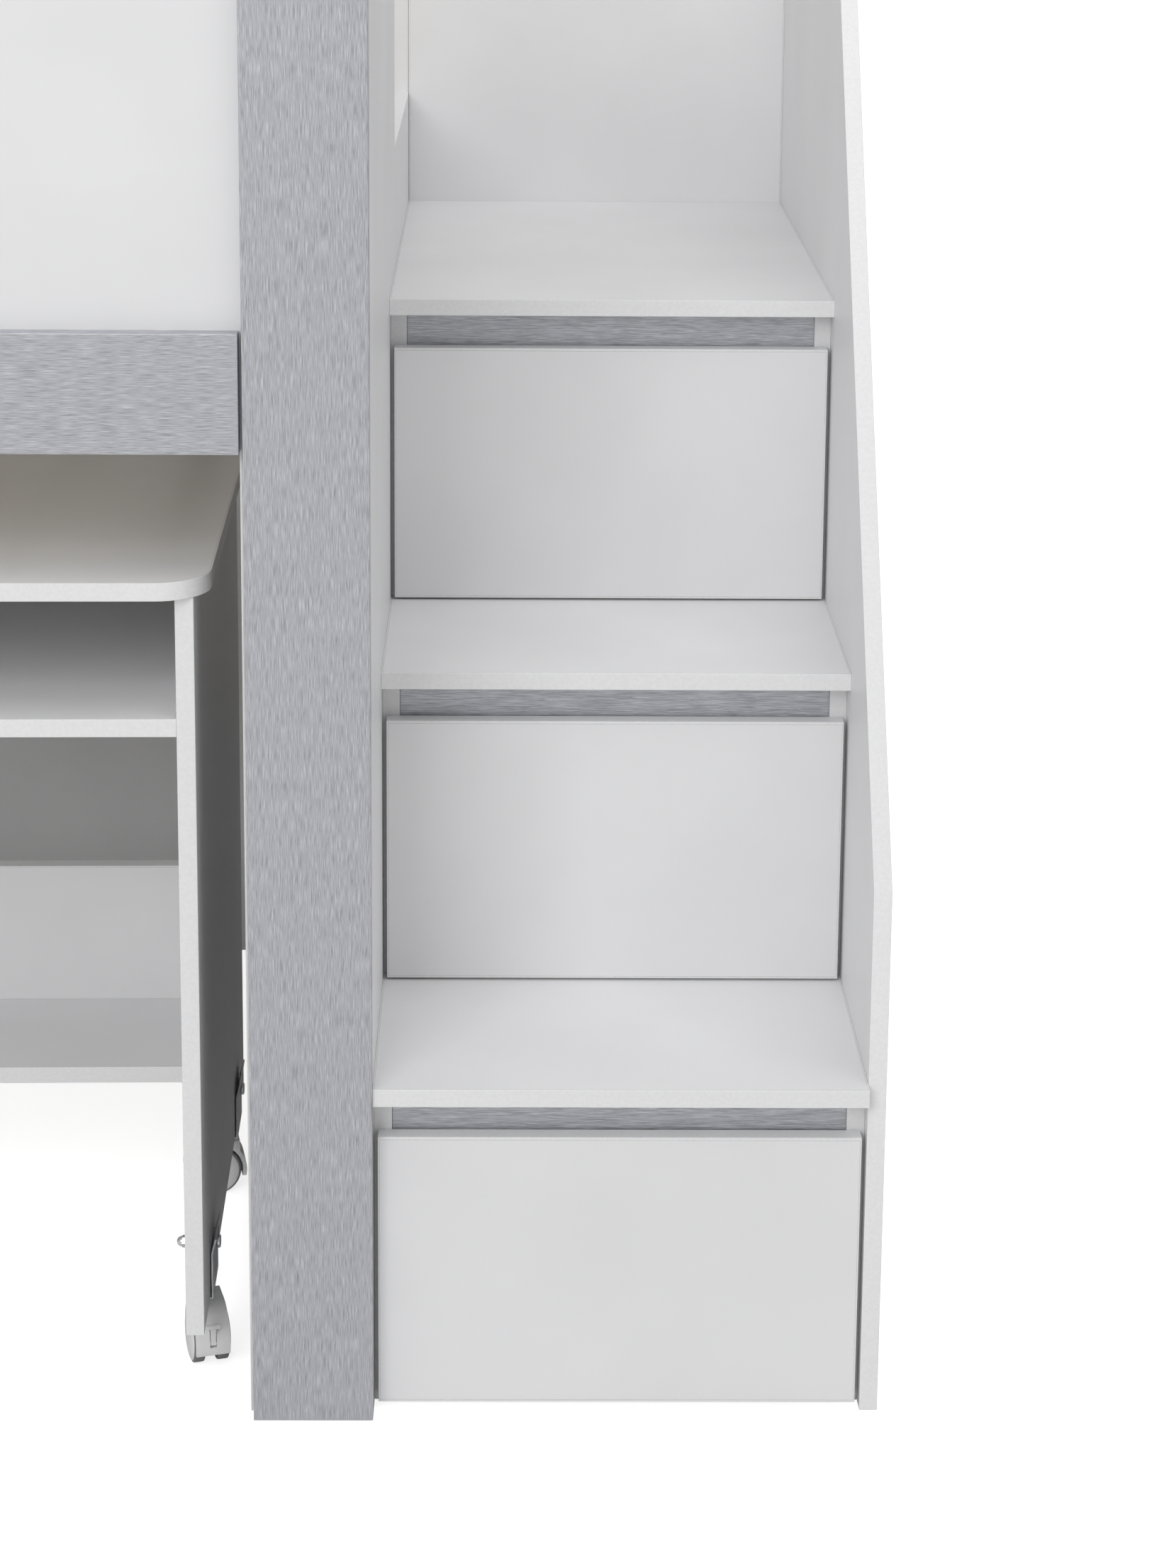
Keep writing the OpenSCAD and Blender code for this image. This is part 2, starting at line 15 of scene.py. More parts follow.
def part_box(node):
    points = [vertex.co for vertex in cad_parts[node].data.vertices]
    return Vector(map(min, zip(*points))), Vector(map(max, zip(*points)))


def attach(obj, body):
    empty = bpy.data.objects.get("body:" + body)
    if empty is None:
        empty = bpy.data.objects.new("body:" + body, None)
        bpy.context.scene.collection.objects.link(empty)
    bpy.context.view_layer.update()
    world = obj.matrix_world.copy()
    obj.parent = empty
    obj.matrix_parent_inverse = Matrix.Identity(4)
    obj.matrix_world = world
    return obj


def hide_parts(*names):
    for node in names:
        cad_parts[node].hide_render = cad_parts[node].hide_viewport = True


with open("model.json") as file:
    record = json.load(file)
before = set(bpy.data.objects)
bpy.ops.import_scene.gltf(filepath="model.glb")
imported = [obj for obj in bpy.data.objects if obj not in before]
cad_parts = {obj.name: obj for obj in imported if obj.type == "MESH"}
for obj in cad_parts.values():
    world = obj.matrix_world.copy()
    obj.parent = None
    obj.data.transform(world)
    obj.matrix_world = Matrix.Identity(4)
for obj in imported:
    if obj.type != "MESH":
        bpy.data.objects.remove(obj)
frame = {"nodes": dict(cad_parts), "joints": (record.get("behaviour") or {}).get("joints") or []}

LOG = logging.getLogger("loft_bed")
MM = 0.001
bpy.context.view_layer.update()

# What the material slots of a banded board mean
FACE, BAND, GLUE = 0, 1, 2


class Grain(Enum):
    """The way along which a board's printed or sawn grain runs."""

    ALONG_X = (1, 0, 0)
    ALONG_Y = (0, 1, 0)
    ALONG_Z = (0, 0, 1)

    def sizes(self, across_mm: float, along_mm: float) -> list[float]:
        """Feature sizes along X, Y and Z, with the long one along the grain."""
        return [along_mm if part else across_mm for part in self.value]


class Across(Enum):
    """The axis along which a board is thin."""

    X = 0
    Y = 1
    Z = 2


def linear(colour: str) -> tuple[float, float, float, float]:
    """Turns an sRGB hex colour into linear RGBA.

    Args:
        colour: Six hex digits after a hash.

    Returns:
        Red, green, blue and an alpha of 1.
    """
    parts = [int(colour[i : i + 2], 16) / 255 for i in (1, 3, 5)]
    r, g, b = (c / 12.92 if c <= 0.04045 else ((c + 0.055) / 1.055) ** 2.4 for c in parts)
    return r, g, b, 1.0


def add(tree: bpy.types.NodeTree, kind: str, settings: dict[Any, Any] | None = None,
        links: dict[Any, bpy.types.NodeSocket] | None = None) -> bpy.types.Node:
    """Adds a node with its settings and links.

    Args:
        tree: The node tree to add to.
        kind: The node's type.
        settings: Values by property name, or by input name or number.
        links: Sockets that feed inputs, by input name or number.

    Returns:
        The new node.
    """
    node = tree.nodes.new(kind)
    for key, value in (settings or {}).items():
        if isinstance(key, int) or key in node.inputs:
            node.inputs[key].default_value = value
        else:
            setattr(node, key, value)
    for key, socket in (links or {}).items():
        tree.links.new(socket, node.inputs[key])
    return node


def per_metre(size_mm: float) -> float:
    """The noise scale whose features are this many millimetres apart."""
    return 1.0 / (size_mm * MM)


@dataclass(frozen=True)
class Finish:
    """What every finish has: its name, its slot in the record, its two tones and its gloss."""

    name: str
    slot: str
    tone: str
    second_tone: str
    roughness: float = 0.45
    metallic: float = 0.0

    def material(self) -> bpy.types.Material:
        """Makes the material, or gives back the one already made."""
        known = bpy.data.materials.get(self.name)
        if known:
            return known
        made = bpy.data.materials.new(self.name)
        made.use_nodes = True
        tree = made.node_tree
        tree.nodes.clear()
        shader = add(tree, "ShaderNodeBsdfPrincipled",
                     {"Roughness": self.roughness, "Metallic": self.metallic})
        add(tree, "ShaderNodeOutputMaterial", links={"Surface": shader.outputs[0]})
        place = add(tree, "ShaderNodeTexCoord").outputs["Object"]
        self.dress(tree, shader, place)
        return made

    def dress(self, tree: bpy.types.NodeTree, shader: bpy.types.Node, place: bpy.types.NodeSocket) -> None:
        """Adds what is particular to the finish."""
        raise NotImplementedError

    def noise(self, tree: bpy.types.NodeTree, place: bpy.types.NodeSocket, size_mm: Sequence[float],
              detail: float = 2.0, roughness: float = 0.5) -> bpy.types.NodeSocket:
        """Adds noise whose features have a real size along each axis.

        Args:
            tree: The node tree to add to.
            place: The coordinates, in metres.
            size_mm: Feature size along X, Y and Z in millimetres.
            detail: Octaves of noise.
            roughness: Strength of the finer octaves.

        Returns:
            The noise value.
        """
        scaled = add(tree, "ShaderNodeMapping", {"Scale": [per_metre(s) for s in size_mm]}, {"Vector": place})
        grain = add(tree, "ShaderNodeTexNoise", {"Scale": 1.0, "Detail": detail, "Roughness": roughness},
                    {"Vector": scaled.outputs[0]})
        return grain.outputs[0]

    def tones(self, tree: bpy.types.NodeTree, shader: bpy.types.Node, mask: bpy.types.NodeSocket,
              low: float = 0.35, high: float = 0.65) -> None:
        """Mixes the finish's two tones by a mask and feeds the base colour.

        Args:
            tree: The node tree to add to.
            shader: The shader whose base colour is fed.
            mask: Value that picks the tone.
            low: Mask value that gives the first tone.
            high: Mask value that gives the second tone.
        """
        part = add(tree, "ShaderNodeMapRange", {"From Min": low, "From Max": high}, {"Value": mask})
        mix = add(tree, "ShaderNodeMix",
                  {"data_type": "RGBA", 6: linear(self.tone), 7: linear(self.second_tone)},
                  {0: part.outputs[0]})
        tree.links.new(mix.outputs[2], shader.inputs["Base Color"])

    def relief(self, tree: bpy.types.NodeTree, shader: bpy.types.Node, height: bpy.types.NodeSocket,
               strength: float, depth_mm: float) -> None:
        """Turns a height into bump on the shader.

        Args:
            tree: The node tree to add to.
            shader: The shader whose normal is fed.
            height: Height from 0 to 1.
            strength: Strength of the bump.
            depth_mm: Real depth of the relief in millimetres.
        """
        bump = add(tree, "ShaderNodeBump", {"Strength": strength, "Distance": depth_mm * MM},
                   {"Height": height})
        tree.links.new(bump.outputs[0], shader.inputs["Normal"])

    def gloss(self, tree: bpy.types.NodeTree, shader: bpy.types.Node, mask: bpy.types.NodeSocket,
              spread: float) -> None:
        """Lets the roughness wander by a mask.

        Args:
            tree: The node tree to add to.
            shader: The shader whose roughness is fed.
            mask: Value from 0 to 1.
            spread: How far the roughness wanders either way.
        """
        wander = add(tree, "ShaderNodeMapRange",
                     {"To Min": self.roughness - spread, "To Max": self.roughness + spread}, {"Value": mask})
        tree.links.new(wander.outputs[0], shader.inputs["Roughness"])


@dataclass(frozen=True)
class MelamineFace(Finish):
    """Melamine-faced particle board, hot pressed against a pearl-textured plate.

    It gives the eye a matt white sheet with a very fine orange peel and faint, slow changes of tone.
    """

    peel_mm: float = 1.1  # the real peel is near 0.5 mm and is drawn twice as coarse, so that it shows
    cloud_mm: float = 160.0

    def dress(self, tree: bpy.types.NodeTree, shader: bpy.types.Node, place: bpy.types.NodeSocket) -> None:
        """Adds the slow clouding, the peel and the change of gloss."""
        cloud = self.noise(tree, place, [self.cloud_mm] * 3, 3.0)
        peel = self.noise(tree, place, [self.peel_mm] * 3, 1.0)
        self.tones(tree, shader, cloud)
        self.gloss(tree, shader, peel, 0.05)
        self.relief(tree, shader, peel, 0.15, 0.05)


@dataclass(frozen=True)
class BrushedFoil(Finish):
    """Particle board wrapped in a printed foil that imitates brushed aluminium.

    It gives the eye fine streaks along the board, light and dark, and a soft metallic sheen.
    """

    grain: Grain = Grain.ALONG_Z
    streak_mm: float = 0.4
    streak_length_mm: float = 16.0
    stroke_mm: float = 1.0
    stroke_length_mm: float = 34.0

    def dress(self, tree: bpy.types.NodeTree, shader: bpy.types.Node, place: bpy.types.NodeSocket) -> None:
        """Adds the fine streaks, the broader strokes and the brushed relief."""
        streaks = self.noise(tree, place, self.grain.sizes(self.streak_mm, self.streak_length_mm), 2.0, 0.6)
        strokes = self.noise(tree, place, self.grain.sizes(self.stroke_mm, self.stroke_length_mm), 2.0, 0.5)
        both = add(tree, "ShaderNodeMix", {"data_type": "FLOAT", 0: 0.15}, {2: streaks, 3: strokes})
        self.tones(tree, shader, both.outputs[0], 0.34, 0.66)
        self.gloss(tree, shader, streaks, 0.06)
        self.relief(tree, shader, streaks, 0.3, 0.03)


@dataclass(frozen=True)
class ExtrudedBand(Finish):
    """Extruded ABS edge band, trimmed and scraped flush.

    It gives the eye a slightly glossier line round each board, with faint chatter marks from the scraper.
    """

    chatter_mm: float = 3.0

    def dress(self, tree: bpy.types.NodeTree, shader: bpy.types.Node, place: bpy.types.NodeSocket) -> None:
        """Adds the chatter and the slow change of tone."""
        chatter = self.noise(tree, place, [self.chatter_mm] * 3, 1.0)
        self.tones(tree, shader, chatter)
        self.relief(tree, shader, chatter, 0.12, 0.04)


@dataclass(frozen=True)
class GlueJoint(Finish):
    """Line of hot-melt glue between a board's face and its edge band.

    It gives the eye a hair-thin darker line just inside each arris, uneven along its length.
    """

    bead_mm: float = 6.0

    def dress(self, tree: bpy.types.NodeTree, shader: bpy.types.Node, place: bpy.types.NodeSocket) -> None:
        """Adds the uneven tone of the line."""
        self.tones(tree, shader, self.noise(tree, place, [self.bead_mm] * 3, 3.0), 0.3, 0.7)


@dataclass(frozen=True)
class PlanedPine(Finish):
    """Planed pine, unfinished.

    It gives the eye pale yellow wood with darker late-wood lines along the slat and a dry, even surface.
    """

    grain: Grain = Grain.ALONG_Y
    ring_mm: float = 5.0
    ring_length_mm: float = 420.0
    pore_mm: float = 0.7
    pore_length_mm: float = 30.0

    def dress(self, tree: bpy.types.NodeTree, shader: bpy.types.Node, place: bpy.types.NodeSocket) -> None:
        """Adds the rings, the fibres and their relief."""
        rings = self.noise(tree, place, self.grain.sizes(self.ring_mm, self.ring_length_mm), 2.0, 0.4)
        fibres = self.noise(tree, place, self.grain.sizes(self.pore_mm, self.pore_length_mm), 2.0)
        self.tones(tree, shader, rings, 0.42, 0.62)
        self.gloss(tree, shader, fibres, 0.08)
        self.relief(tree, shader, fibres, 0.3, 0.08)


@dataclass(frozen=True)
class ZincPlate(Finish):
    """Pressed sheet steel, electroplated with zinc.

    It gives the eye a cool grey metal with a soft, cloudy shine and fine rolling lines.
    """

    cloud_mm: float = 9.0
    rolling_mm: float = 0.8

    def dress(self, tree: bpy.types.NodeTree, shader: bpy.types.Node, place: bpy.types.NodeSocket) -> None:
        """Adds the clouding and the rolling lines."""
        cloud = self.noise(tree, place, [self.cloud_mm] * 3, 3.0)
        rolled = self.noise(tree, place, [self.rolling_mm * 20, self.rolling_mm * 20, self.rolling_mm], 1.0)
        self.tones(tree, shader, cloud)
        self.gloss(tree, shader, cloud, 0.1)
        self.relief(tree, shader, rolled, 0.15, 0.02)


@dataclass(frozen=True)
class BrightPlate(Finish):
    """Turned steel, polished and nickel-chrome plated.

    It gives the eye a mirror shine broken only by faint turning lines and a slightly dulled patch
    here and there.
    """

    patch_mm: float = 4.0

    def dress(self, tree: bpy.types.NodeTree, shader: bpy.types.Node, place: bpy.types.NodeSocket) -> None:
        """Adds the dulled patches and the turning lines."""
        patch = self.noise(tree, place, [self.patch_mm] * 3, 3.0)
        lines = self.noise(tree, place, [0.5, 12.0, 12.0], 1.0)
        self.tones(tree, shader, patch)
        self.gloss(tree, shader, patch, 0.05)
        self.relief(tree, shader, lines, 0.08, 0.01)


@dataclass(frozen=True)
class MouldedPolyamide(Finish):
    """Injection-moulded white polyamide from a spark-eroded mould.

    It gives the eye a satin white plastic with a fine, even grain and slightly soft shading.
    """

    grain_mm: float = 0.6
    cloud_mm: float = 14.0

    def dress(self, tree: bpy.types.NodeTree, shader: bpy.types.Node, place: bpy.types.NodeSocket) -> None:
        """Adds the mould's grain and faint flow clouds."""
        grain = self.noise(tree, place, [self.grain_mm] * 3, 2.0)
        self.tones(tree, shader, self.noise(tree, place, [self.cloud_mm] * 3, 2.0))
        self.gloss(tree, shader, grain, 0.06)
        self.relief(tree, shader, grain, 0.2, 0.03)


WHITE = MelamineFace("melamine_white", "white_board", "#E3E3E4", "#E7E7E8", 0.46)
BAND_WHITE = ExtrudedBand("abs_band_white", "white_board", "#E5E5E6", "#E9E9E9", 0.38)
GLUE_LINE = GlueJoint("glue_line", "white_board", "#9C9B98", "#BDBCB8", 0.7)
FOIL_UPRIGHT = BrushedFoil("brushed_foil_upright", "foil_metal_look", "#94959B", "#D6D7DC", 0.42, 0.55)
FOIL_LEVEL = BrushedFoil("brushed_foil_level", "foil_metal_look", "#94959B", "#D6D7DC", 0.42, 0.55,
                         grain=Grain.ALONG_X)
DRAWER_FOIL = MelamineFace("foil_wrapped_drawer", "drawer_board", "#D9DADB", "#E3E3E3", 0.55, peel_mm=2.0)
PINE = PlanedPine("planed_pine", "slat_wood", "#E6DCC8", "#D6C5A6", 0.62)
ZINC = ZincPlate("zinc_plated_steel", "zinc_steel", "#C6C9CC", "#DDDFE1", 0.34, 0.85)
STEEL = ZincPlate("bright_drawn_steel", "steel", "#B4B5B6", "#D0D0D0", 0.28, 1.0)
CHROME = BrightPlate("chromed_steel", "chromed_steel", "#D4D5D7", "#E4E4E6", 0.1, 1.0)
NYLON = MouldedPolyamide("moulded_polyamide_white", "white_plastic", "#EFEFEF", "#F4F4F4", 0.36)
WHEEL_CAP = MouldedPolyamide("moulded_wheel_cap", "wheel_plastic", "#F0F0F0", "#F5F5F5", 0.34)
TREAD = MouldedPolyamide("soft_grey_tread", "wheel_plastic", "#77787A", "#8B8C8E", 0.6)


def copy_node(node: str, place: Matrix) -> bmesh.types.BMesh:
    """Copies a CAD node's surface with its flat faces whole again.

    Args:
        node: Name of the CAD node.
        place: The frame in which the piece is to be made.

    Returns:
        The surface, in that frame.
    """
    mesh = bmesh.new()
    mesh.from_mesh(frame["nodes"][node].data)
    mesh.transform(place.inverted())
    bmesh.ops.remove_doubles(mesh, verts=mesh.verts, dist=0.004 * MM)
    bmesh.ops.dissolve_limit(mesh, angle_limit=math.radians(0.4), verts=mesh.verts, edges=mesh.edges)
    bmesh.ops.recalc_face_normals(mesh, faces=mesh.faces)
    return mesh


def block_of(node: str, place: Matrix) -> bmesh.types.BMesh:
    """Makes a block as large as a CAD node, for a board whose few bolt holes its bolts cover.

    Args:
        node: Name of the CAD node.
        place: The frame in which the board lies straight.

    Returns:
        The block, in that frame.
    """
    back = place.inverted()
    points = [back @ v.co for v in frame["nodes"][node].data.vertices]
    low = Vector([min(p[i] for p in points) for i in range(3)])
    high = Vector([max(p[i] for p in points) for i in range(3)])
    mesh = bmesh.new()
    bmesh.ops.create_cube(mesh, size=1.0)
    for vert in mesh.verts:
        vert.co = Vector([low[i] + (vert.co[i] + 0.5) * (high[i] - low[i]) for i in range(3)])
    return mesh


def soften(mesh: bmesh.types.BMesh, radius_mm: float, steps: int = 2, from_degrees: float = 35.0) -> None:
    """Rounds the edges that are sharper than an angle.

    Args:
        mesh: The surface to round.
        radius_mm: Width of the rounding.
        steps: Faces across the rounding.
        from_degrees: Angle from which an edge counts as sharp.
    """
    sharp = [e for e in mesh.edges
             if len(e.link_faces) == 2 and e.calc_face_angle() > math.radians(from_degrees)]
    bmesh.ops.bevel(mesh, geom=sharp, offset=radius_mm * MM, offset_type="OFFSET", segments=steps,
                    profile=0.5, affect="EDGES", clamp_overlap=True)


def lathe(profile: Sequence[tuple[float, float]], steps: int = 64) -> bmesh.types.BMesh:
    """Turns a profile round the Z axis.

    Args:
        profile: Radius and height of each point in millimetres, from one end of the axis to the other.
        steps: Faces round the axis.

    Returns:
        The closed surface, in metres.
    """
    mesh = bmesh.new()
    rings = []
    for radius, height in profile:
        if radius < 1e-6:
            rings.append([mesh.verts.new((0, 0, height * MM))])
            continue
        rings.append([mesh.verts.new((radius * MM * math.cos(a), radius * MM * math.sin(a), height * MM))
                      for a in (2 * math.pi * i / steps for i in range(steps))])
    for one, two in zip(rings, rings[1:]):
        for i in range(steps):
            j = (i + 1) % steps
            corners = [one[i % len(one)], one[j % len(one)], two[j % len(two)], two[i % len(two)]]
            mesh.faces.new(list(dict.fromkeys(corners)))
    bmesh.ops.recalc_face_normals(mesh, faces=mesh.faces)
    return mesh


def merge(whole: bmesh.types.BMesh, part: bmesh.types.BMesh) -> None:
    """Adds a part to a surface and frees the part."""
    data = bpy.data.meshes.new("part")
    part.to_mesh(data)
    part.free()
    whole.from_mesh(data)
    bpy.data.meshes.remove(data)


def clusters(points: Sequence[Vector], apart_m: float) -> list[tuple[Vector, Vector]]:
    """Groups points that lie close together.

    Args:
        points: The points.
        apart_m: Distance from which a point starts a new group.

    Returns:
        The low and high corner of each group's box.
    """
    groups: list[list[Vector]] = []
    for point in points:
        near = next((g for g in groups if (g[0] - point).length < apart_m), None)
        if near is None:
            groups.append([point])
        else:
            near.append(point)
    return [(Vector([min(p[i] for p in g) for i in range(3)]),
             Vector([max(p[i] for p in g) for i in range(3)]))
            for g in groups]


def joint(name: str) -> dict[str, Any]:
    """The record's joint of that name."""
    return next(j for j in frame["joints"] if j["name"] == name)


@dataclass
class Maker:
    """Turns surfaces into pieces that ride on the bodies, and keeps count of them."""

    made: list[str] = field(default_factory=list)

    def piece(self, name: str, mesh: bmesh.types.BMesh, body: str, finishes: Sequence[Finish],
              place: Matrix, stands_for: Sequence[str] = (),
              smooth_degrees: float = 50.0) -> bpy.types.Object:
        """Makes a piece, dresses it and sets it on its body.

        Args:
            name: The piece's name.
            mesh: Its surface, which is freed.
            body: The CAD body it rides on.
            finishes: Its finishes, in the order of its faces' material numbers.
            place: Its frame in the object's frame.
            stands_for: The CAD nodes it replaces.
            smooth_degrees: Angle up to which its faces are shaded as one.

        Returns:
            The piece.
        """
        data = bpy.data.meshes.new(name)
        mesh.to_mesh(data)
        mesh.free()
        for finish in finishes:
            data.materials.append(finish.material())
        data.polygons.foreach_set("use_smooth", [True] * len(data.polygons))
        data.set_sharp_from_angle(angle=math.radians(smooth_degrees))
        made = bpy.data.objects.new(name, data)
        bpy.context.scene.collection.objects.link(made)
        made.matrix_world = place
        shading = made.modifiers.new("even_shading", "WEIGHTED_NORMAL")
        shading.keep_sharp = True
        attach(made, body)
        if stands_for:
            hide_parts(*stands_for)
        self.made.append(name)
        return made


@dataclass
class Board:
    """A flat board with its edge bands and the glue line inside them."""

    node: str
    across: Across
    body: str = "bed"
    face: Finish = WHITE
    band: Finish = BAND_WHITE
    place: Matrix = field(default_factory=lambda: Matrix.Identity(4))
    plain_block: bool = False
    arris_mm: float = 0.6
    band_mm: float = 1.4
    glue_mm: float = 0.25

    def build(self, maker: Maker) -> None:
        """Makes the board in place of its CAD node."""
        mesh = (block_of if self.plain_block else copy_node)(self.node, self.place)
        soften(mesh, self.arris_mm)
        wide = [f for f in mesh.faces if abs(f.normal[self.across.value]) > 0.9999]
        for face in mesh.faces:
            face.material_index = BAND
        bmesh.ops.inset_individual(mesh, faces=wide, thickness=(self.band_mm - self.arris_mm) * MM,
                                   use_even_offset=True)
        line = bmesh.ops.inset_individual(mesh, faces=wide, thickness=self.glue_mm * MM, use_even_offset=True)
        for face in line["faces"]:
            face.material_index = GLUE
        for face in wide:
            face.material_index = FACE
        maker.piece(self.node + "_board", mesh, self.body, [self.face, self.band, GLUE_LINE], self.place,
                    [self.node])


@dataclass
class Plain:
    """A piece with one finish and softened edges."""

    node: str
    finish: Finish
    body: str = "bed"
    edge_mm: float = 0.5
    steps: int = 2
    place: Matrix = field(default_factory=lambda: Matrix.Identity(4))

    def build(self, maker: Maker) -> None:
        """Makes the piece in place of its CAD node."""
        mesh = copy_node(self.node, self.place)
        soften(mesh, self.edge_mm, self.steps)
        maker.piece(self.node + "_piece", mesh, self.body, [self.finish], self.place, [self.node])


@dataclass
class Bed:
    """The bed's carcass, with its posts, rail, guard, ends, backs and slats."""

    bolt_head_mm: float = 7.0
    bolt_proud_mm: float = 3.0
    socket_mm: float = 2.6
    shank_mm: float = 3.0
    shank_length_mm: float = 40.0
    bolts_apart_m: float = 0.03

    def build(self, maker: Maker) -> None:
        """Makes every piece of the carcass."""
        for node in ("post_right", "post_left"):
            Board(node, Across.Y, face=FOIL_UPRIGHT, band=FOIL_UPRIGHT).build(maker)
        Board("bed_rail", Across.Y, face=FOIL_LEVEL, band=FOIL_LEVEL).build(maker)
        Board("guard_board", Across.Y, plain_block=True).build(maker)
        Board("post_stiffeners", Across.Y).build(maker)
        Board("end_board", Across.X, plain_block=True).build(maker)
        Board("back_board_lower", Across.Y, plain_block=True).build(maker)
        Board("back_board_upper", Across.Y, plain_block=True).build(maker)
        Plain("slat_bearers", WHITE, edge_mm=1.0).build(maker)
        Plain("slats", PINE, edge_mm=2.5, steps=3).build(maker)
        self.bolts(maker)

    def bolts(self, maker: Maker) -> None:
        """Makes the bolts' heads, domed with a socket, and their shanks."""
        r, h, s = self.bolt_head_mm, self.bolt_proud_mm, self.socket_mm
        whole = bmesh.new()
        shank = [(0, -self.shank_length_mm), (self.shank_mm, -self.shank_length_mm), (self.shank_mm, 0)]
        head = [(r, 0), (r, h * 0.4), (r * 0.92, h * 0.75), (r * 0.7, h * 0.97), (s + 0.4, h)]
        socket = [(s, h - 0.3), (s, 0.6), (0, 0.6)]
        flat = [Vector((0.0, *v.co.yz)) for v in frame["nodes"]["end_bolts"].data.vertices]
        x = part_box("end_bolts")[0].x
        for low, high in clusters(flat, self.bolts_apart_m):
            y, z = ((low + high) / 2).yz
            one = lathe(shank + head + socket, 48)
            one.transform(Matrix.Translation((x + h * MM, y, z)) @ Matrix.Rotation(-math.pi / 2, 4, "Y"))
            merge(whole, one)
        maker.piece("end_bolt_set", whole, "bed", [STEEL], Matrix.Identity(4), ["end_bolts"], 35.0)


@dataclass
class Staircase:
    """The staircase's boards, treads, bands, cheeks and fixed runners."""

    levels: int = 3

    def build(self, maker: Maker) -> None:
        """Makes every fixed piece of the staircase."""
        Board("stair_inner_side", Across.X).build(maker)
        Board("stair_outer_side", Across.X).build(maker)
        Board("stair_back", Across.Y).build(maker)
        Board("drawer_cheeks", Across.X).build(maker)
        Plain("runner_channels", ZINC, edge_mm=0.25).build(maker)
        for level in range(1, self.levels + 1):
            Board(f"tread_{level}", Across.Z).build(maker)
            Board(f"band_{level}", Across.Y, face=FOIL_LEVEL, band=FOIL_LEVEL).build(maker)


@dataclass
class Drawer:
    """One drawer: its front, box, bottom and inner runners."""

    level: int

    def build(self, maker: Maker) -> None:
        """Makes the drawer's pieces."""
        name = f"drawer_{self.level}"
        Board(name + "_front", Across.Y, body=name).build(maker)
        Plain(name + "_box", DRAWER_FOIL, name, 0.8).build(maker)
        Plain(name + "_bottom", DRAWER_FOIL, name, 0.3).build(maker)
        Plain(name + "_runners", ZINC, name, 0.25).build(maker)


@dataclass
class Desk:
    """The rolling desk, made in its own frame, which stands a little askew to the bed."""

    nut_mm: float = 5.75
    nut_flats_mm: float = 5.0
    hex_height_mm: float = 9.8
    dome_mm: float = 5.2
    nuts_apart_m: float = 0.05

    def place(self) -> Matrix:
        """The desk's frame, turned to the way it rolls."""
        forward = joint("desk_roll")["axis"]
        return Matrix.Rotation(math.atan2(forward[0], -forward[1]), 4, "Z")

    def build(self, maker: Maker) -> None:
        """Makes every piece that rolls with the desk and doesn't swivel."""
        place = self.place()
        for node, across, block in (("desk_top", Across.Z, False), ("desk_shelf", Across.Z, False),
                                    ("desk_low_shelf", Across.Z, False), ("desk_low_back", Across.Y, False),
                                    ("desk_side_right", Across.X, True), ("desk_side_left", Across.X, True)):
            Board(node, across, body="desk", place=place, plain_block=block).build(maker)
        Plain("castor_brackets", ZINC, "desk", 0.35, place=place).build(maker)
        Plain("castor_pins", STEEL, "desk", 0.4, place=place).build(maker)
        Plain("bracket_bolts", CHROME, "desk", 1.2, 3, place=place).build(maker)
        self.nuts(maker, place)

    def nuts(self, maker: Maker, place: Matrix) -> None:
        """Makes the domed nuts, each a collar, a hexagon and a dome.

        Args:
            maker: What makes the pieces.
            place: The desk's frame.
        """
        back = place.inverted()
        points = [back @ v.co for v in frame["nodes"]["bracket_nuts"].data.vertices]
        middle = sum((p.x for p in points), 0.0) / len(points)
        whole = bmesh.new()
        for low, high in clusters(points, self.nuts_apart_m):
            centre = (low + high) / 2
            inward = 1 if centre.x < middle else -1
            seat = centre.copy()
            seat.x -= inward * (high.x - low.x) / 2
            turn = Matrix.Translation(seat) @ Matrix.Rotation(inward * math.pi / 2, 4, "Y")
            for part in self.nut_parts():
                part.transform(turn)
                merge(whole, part)
        maker.piece("bracket_nut_set", whole, "desk", [CHROME], place, ["bracket_nuts"], 40.0)

    def nut_parts(self) -> list[bmesh.types.BMesh]:
        """The collar and dome of a nut as one turned solid, and its hexagon, all standing on z = 0."""
        r, flat, h, dome = self.nut_mm, self.nut_flats_mm, self.hex_height_mm, self.dome_mm
        arc = [(flat * 0.96 * math.cos(a), h - 0.2 + dome * math.sin(a))
               for a in (math.pi / 2 * i / 10 for i in range(10))]
        turned = lathe([(0, 0), (r, 0), (r, 0.7), (r - 0.5, 1.1), (flat * 0.96, 1.1), *arc,
                        (0, h - 0.2 + dome)], 48)
        hexagon = bmesh.new()
        bmesh.ops.create_cone(hexagon, cap_ends=True, segments=6, radius1=r * MM, radius2=r * MM,
                              depth=(h - 1) * MM)
        hexagon.transform(Matrix.Translation((0, 0, (h + 1) / 2 * MM)))
        soften(hexagon, 0.35)
        return [turned, hexagon]


